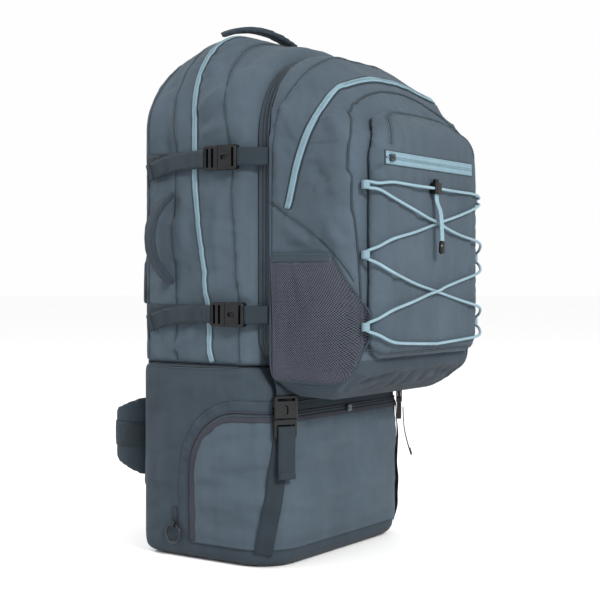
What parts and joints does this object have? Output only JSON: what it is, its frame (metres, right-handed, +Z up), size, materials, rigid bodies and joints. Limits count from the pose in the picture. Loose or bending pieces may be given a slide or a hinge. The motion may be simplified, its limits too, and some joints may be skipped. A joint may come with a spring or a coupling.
{
  "type": "hiking backpack",
  "caption": "Tall travel backpack with a base compartment, back harness, and a zip-off daypack with mesh pockets and laced elastic cord.",
  "frame": {"origin": "middle of the flat base, on the floor", "axes": "+Z up; -Y is the front with the daypack, +Y the wearer's back; +X on the right seen from the front"},
  "size_m": [0.4478, 0.515, 0.775],
  "materials": {
    "bag_fabric": "matte",
    "base_fabric": "matte",
    "zip_tape": "satin",
    "joining_zip": "matte",
    "mesh": "matte",
    "padding": "matte",
    "webbing": "matte",
    "accent_webbing": "matte",
    "elastic_cord": "matte",
    "moulded_plastic": "satin",
    "slider_metal": "satin",
    "frame_plastic": "matte",
    "frame_metal": "satin"
  },
  "bodies": {
    "main_pack": {"main_compartment": "bag_fabric", "base_compartment": "base_fabric", "base_flap": "bag_fabric", "base_zip": "zip_tape", "main_zip": "zip_tape", "joining_zip_rear": "joining_zip", "back_panel": "padding", "frame_sheet": "frame_plastic", "frame_stays": "frame_metal", "lumbar_pad": "padding", "harness_webbing": "webbing", "lifter_buckles": "moulded_plastic", "compression_straps": "webbing", "base_webbing": "webbing"},
    "daypack": {"daypack_compartment": "bag_fabric", "front_pocket": "bag_fabric", "mesh_pocket_left": "mesh", "mesh_pocket_right": "mesh", "daypack_zip": "zip_tape", "joining_zip_front": "joining_zip", "pocket_zip": "zip_tape", "bungee_cord": "elastic_cord", "bungee_tail": "elastic_cord", "bungee_loops": "accent_webbing", "cord_lock_body": "moulded_plastic", "buckle_sockets": "moulded_plastic", "daypack_tabs": "webbing"},
    "cord_lock_plunger": {"cord_lock_plunger": "moulded_plastic"},
    "daypack_zip_slider": {"daypack_zip_slider": "slider_metal"},
    "pocket_zip_slider": {"pocket_zip_slider": "slider_metal"},
    "base_zip_slider": {"base_zip_slider": "slider_metal"},
    "main_zip_slider_upper": {"main_zip_slider_upper": "slider_metal"},
    "main_zip_slider_lower": {"main_zip_slider_lower": "slider_metal"},
    "upper_plug_left": {"upper_plug_left": "moulded_plastic"},
    "upper_plug_right": {"upper_plug_right": "moulded_plastic"},
    "lower_plug_left": {"lower_plug_left": "moulded_plastic"},
    "lower_plug_right": {"lower_plug_right": "moulded_plastic"},
    "base_plug_left": {"base_plug_left": "moulded_plastic", "base_tail_left": "webbing"},
    "base_plug_right": {"base_plug_right": "moulded_plastic", "base_tail_right": "webbing"},
    "top_handle": {"top_handle": "padding"},
    "side_handle_left": {"side_handle_left": "padding"},
    "gear_ring_left": {"gear_ring_left": "moulded_plastic"},
    "hip_wing_left": {"hip_wing_left": "padding", "hip_webbing_left": "webbing", "hip_socket": "moulded_plastic"},
    "shoulder_strap_left": {"shoulder_strap_left": "padding", "shoulder_adjuster_left": "moulded_plastic"},
    "sternum_left": {"sternum_strap_left": "webbing", "sternum_socket": "moulded_plastic"},
    "side_handle_right": {"side_handle_right": "padding"},
    "gear_ring_right": {"gear_ring_right": "moulded_plastic"},
    "hip_wing_right": {"hip_wing_right": "padding", "hip_webbing_right": "webbing", "hip_plug": "moulded_plastic"},
    "shoulder_strap_right": {"shoulder_strap_right": "padding", "shoulder_adjuster_right": "moulded_plastic"},
    "sternum_right": {"sternum_strap_right": "webbing", "sternum_plug": "moulded_plastic"}
  },
  "joints": [
    {"name": "daypack_detach", "type": "slide", "parent": "main_pack", "child": "daypack", "axis": [0, -1, 0], "range_m": [0, 0.25]},
    {"name": "cord_lock_press", "type": "slide", "parent": "daypack", "child": "cord_lock_plunger", "axis": [0, 0, -1], "range_m": [0, 0.004], "stiffness_N_per_m": 300},
    {"name": "daypack_zip_slide", "type": "slide", "parent": "daypack", "child": "daypack_zip_slider", "axis": [0, -0.309, 0.9511], "range_m": [-0.02, 0.05]},
    {"name": "pocket_zip_slide", "type": "slide", "parent": "daypack", "child": "pocket_zip_slider", "axis": [1, 0, 0], "range_m": [0, 0.215]},
    {"name": "base_zip_slide", "type": "slide", "parent": "main_pack", "child": "base_zip_slider", "axis": [1, 0, 0], "range_m": [-0.1, 0.1]},
    {"name": "main_zip_upper_slide", "type": "slide", "parent": "main_pack", "child": "main_zip_slider_upper", "axis": [0, 0.175, 0.9846], "range_m": [0, 0.05]},
    {"name": "main_zip_lower_slide", "type": "slide", "parent": "main_pack", "child": "main_zip_slider_lower", "axis": [0, -0.175, -0.9846], "range_m": [0, 0.02]},
    {"name": "upper_buckle_left", "type": "slide", "parent": "main_pack", "child": "upper_plug_left", "axis": [0, 1, 0], "range_m": [0, 0.027]},
    {"name": "upper_buckle_right", "type": "slide", "parent": "main_pack", "child": "upper_plug_right", "axis": [0, 1, 0], "range_m": [0, 0.027]},
    {"name": "lower_buckle_left", "type": "slide", "parent": "main_pack", "child": "lower_plug_left", "axis": [0, 1, 0], "range_m": [0, 0.027]},
    {"name": "lower_buckle_right", "type": "slide", "parent": "main_pack", "child": "lower_plug_right", "axis": [0, 1, 0], "range_m": [0, 0.027]},
    {"name": "base_buckle_left", "type": "slide", "parent": "main_pack", "child": "base_plug_left", "axis": [0, 0, -1], "range_m": [0, 0.027]},
    {"name": "base_buckle_right", "type": "slide", "parent": "main_pack", "child": "base_plug_right", "axis": [0, 0, -1], "range_m": [0, 0.027]},
    {"name": "top_handle_swing", "type": "hinge", "parent": "main_pack", "child": "top_handle", "pos_m": [0, 0.027, 0.751], "axis": [1, 0, 0], "range_deg": [-15, 15]},
    {"name": "side_handle_left_swing", "type": "hinge", "parent": "main_pack", "child": "side_handle_left", "pos_m": [-0.1803, 0.05124, 0.453], "axis": [0, 0, 1], "range_deg": [-37, 73]},
    {"name": "gear_ring_left_swing", "type": "hinge", "parent": "main_pack", "child": "gear_ring_left", "pos_m": [-0.1826, 0.05, 0.048], "axis": [0, 1, 0], "range_deg": [-5, 80]},
    {"name": "hip_wing_left_swing", "type": "hinge", "parent": "main_pack", "child": "hip_wing_left", "pos_m": [-0.1, 0.148, 0.162], "axis": [0, 0, 1], "range_deg": [-10, 16]},
    {"name": "shoulder_strap_left_swing", "type": "hinge", "parent": "main_pack", "child": "shoulder_strap_left", "pos_m": [-0.06, 0.145, 0.692], "axis": [1, 0, 0], "range_deg": [0, 30]},
    {"name": "sternum_left_slide", "type": "slide", "parent": "shoulder_strap_left", "child": "sternum_left", "axis": [0.1091, -0.0694, 0.9916], "range_m": [-0.02, 0.02]},
    {"name": "side_handle_right_swing", "type": "hinge", "parent": "main_pack", "child": "side_handle_right", "pos_m": [0.1803, 0.05124, 0.453], "axis": [0, 0, 1], "range_deg": [-73, 37]},
    {"name": "gear_ring_right_swing", "type": "hinge", "parent": "main_pack", "child": "gear_ring_right", "pos_m": [0.1826, 0.05, 0.048], "axis": [0, 1, 0], "range_deg": [-80, 5]},
    {"name": "hip_wing_right_swing", "type": "hinge", "parent": "main_pack", "child": "hip_wing_right", "pos_m": [0.1, 0.148, 0.162], "axis": [0, 0, 1], "range_deg": [-16, 10]},
    {"name": "shoulder_strap_right_swing", "type": "hinge", "parent": "main_pack", "child": "shoulder_strap_right", "pos_m": [0.06, 0.145, 0.692], "axis": [1, 0, 0], "range_deg": [0, 30]},
    {"name": "sternum_right_slide", "type": "slide", "parent": "shoulder_strap_right", "child": "sternum_right", "axis": [-0.1091, -0.0694, 0.9916], "range_m": [-0.02, 0.02]}
  ],
  "couplings": [
    {"joint": "shoulder_strap_right_swing", "follows": "shoulder_strap_left_swing", "ratio": 1},
    {"joint": "sternum_right_slide", "follows": "sternum_left_slide", "ratio": 1}
  ]
}
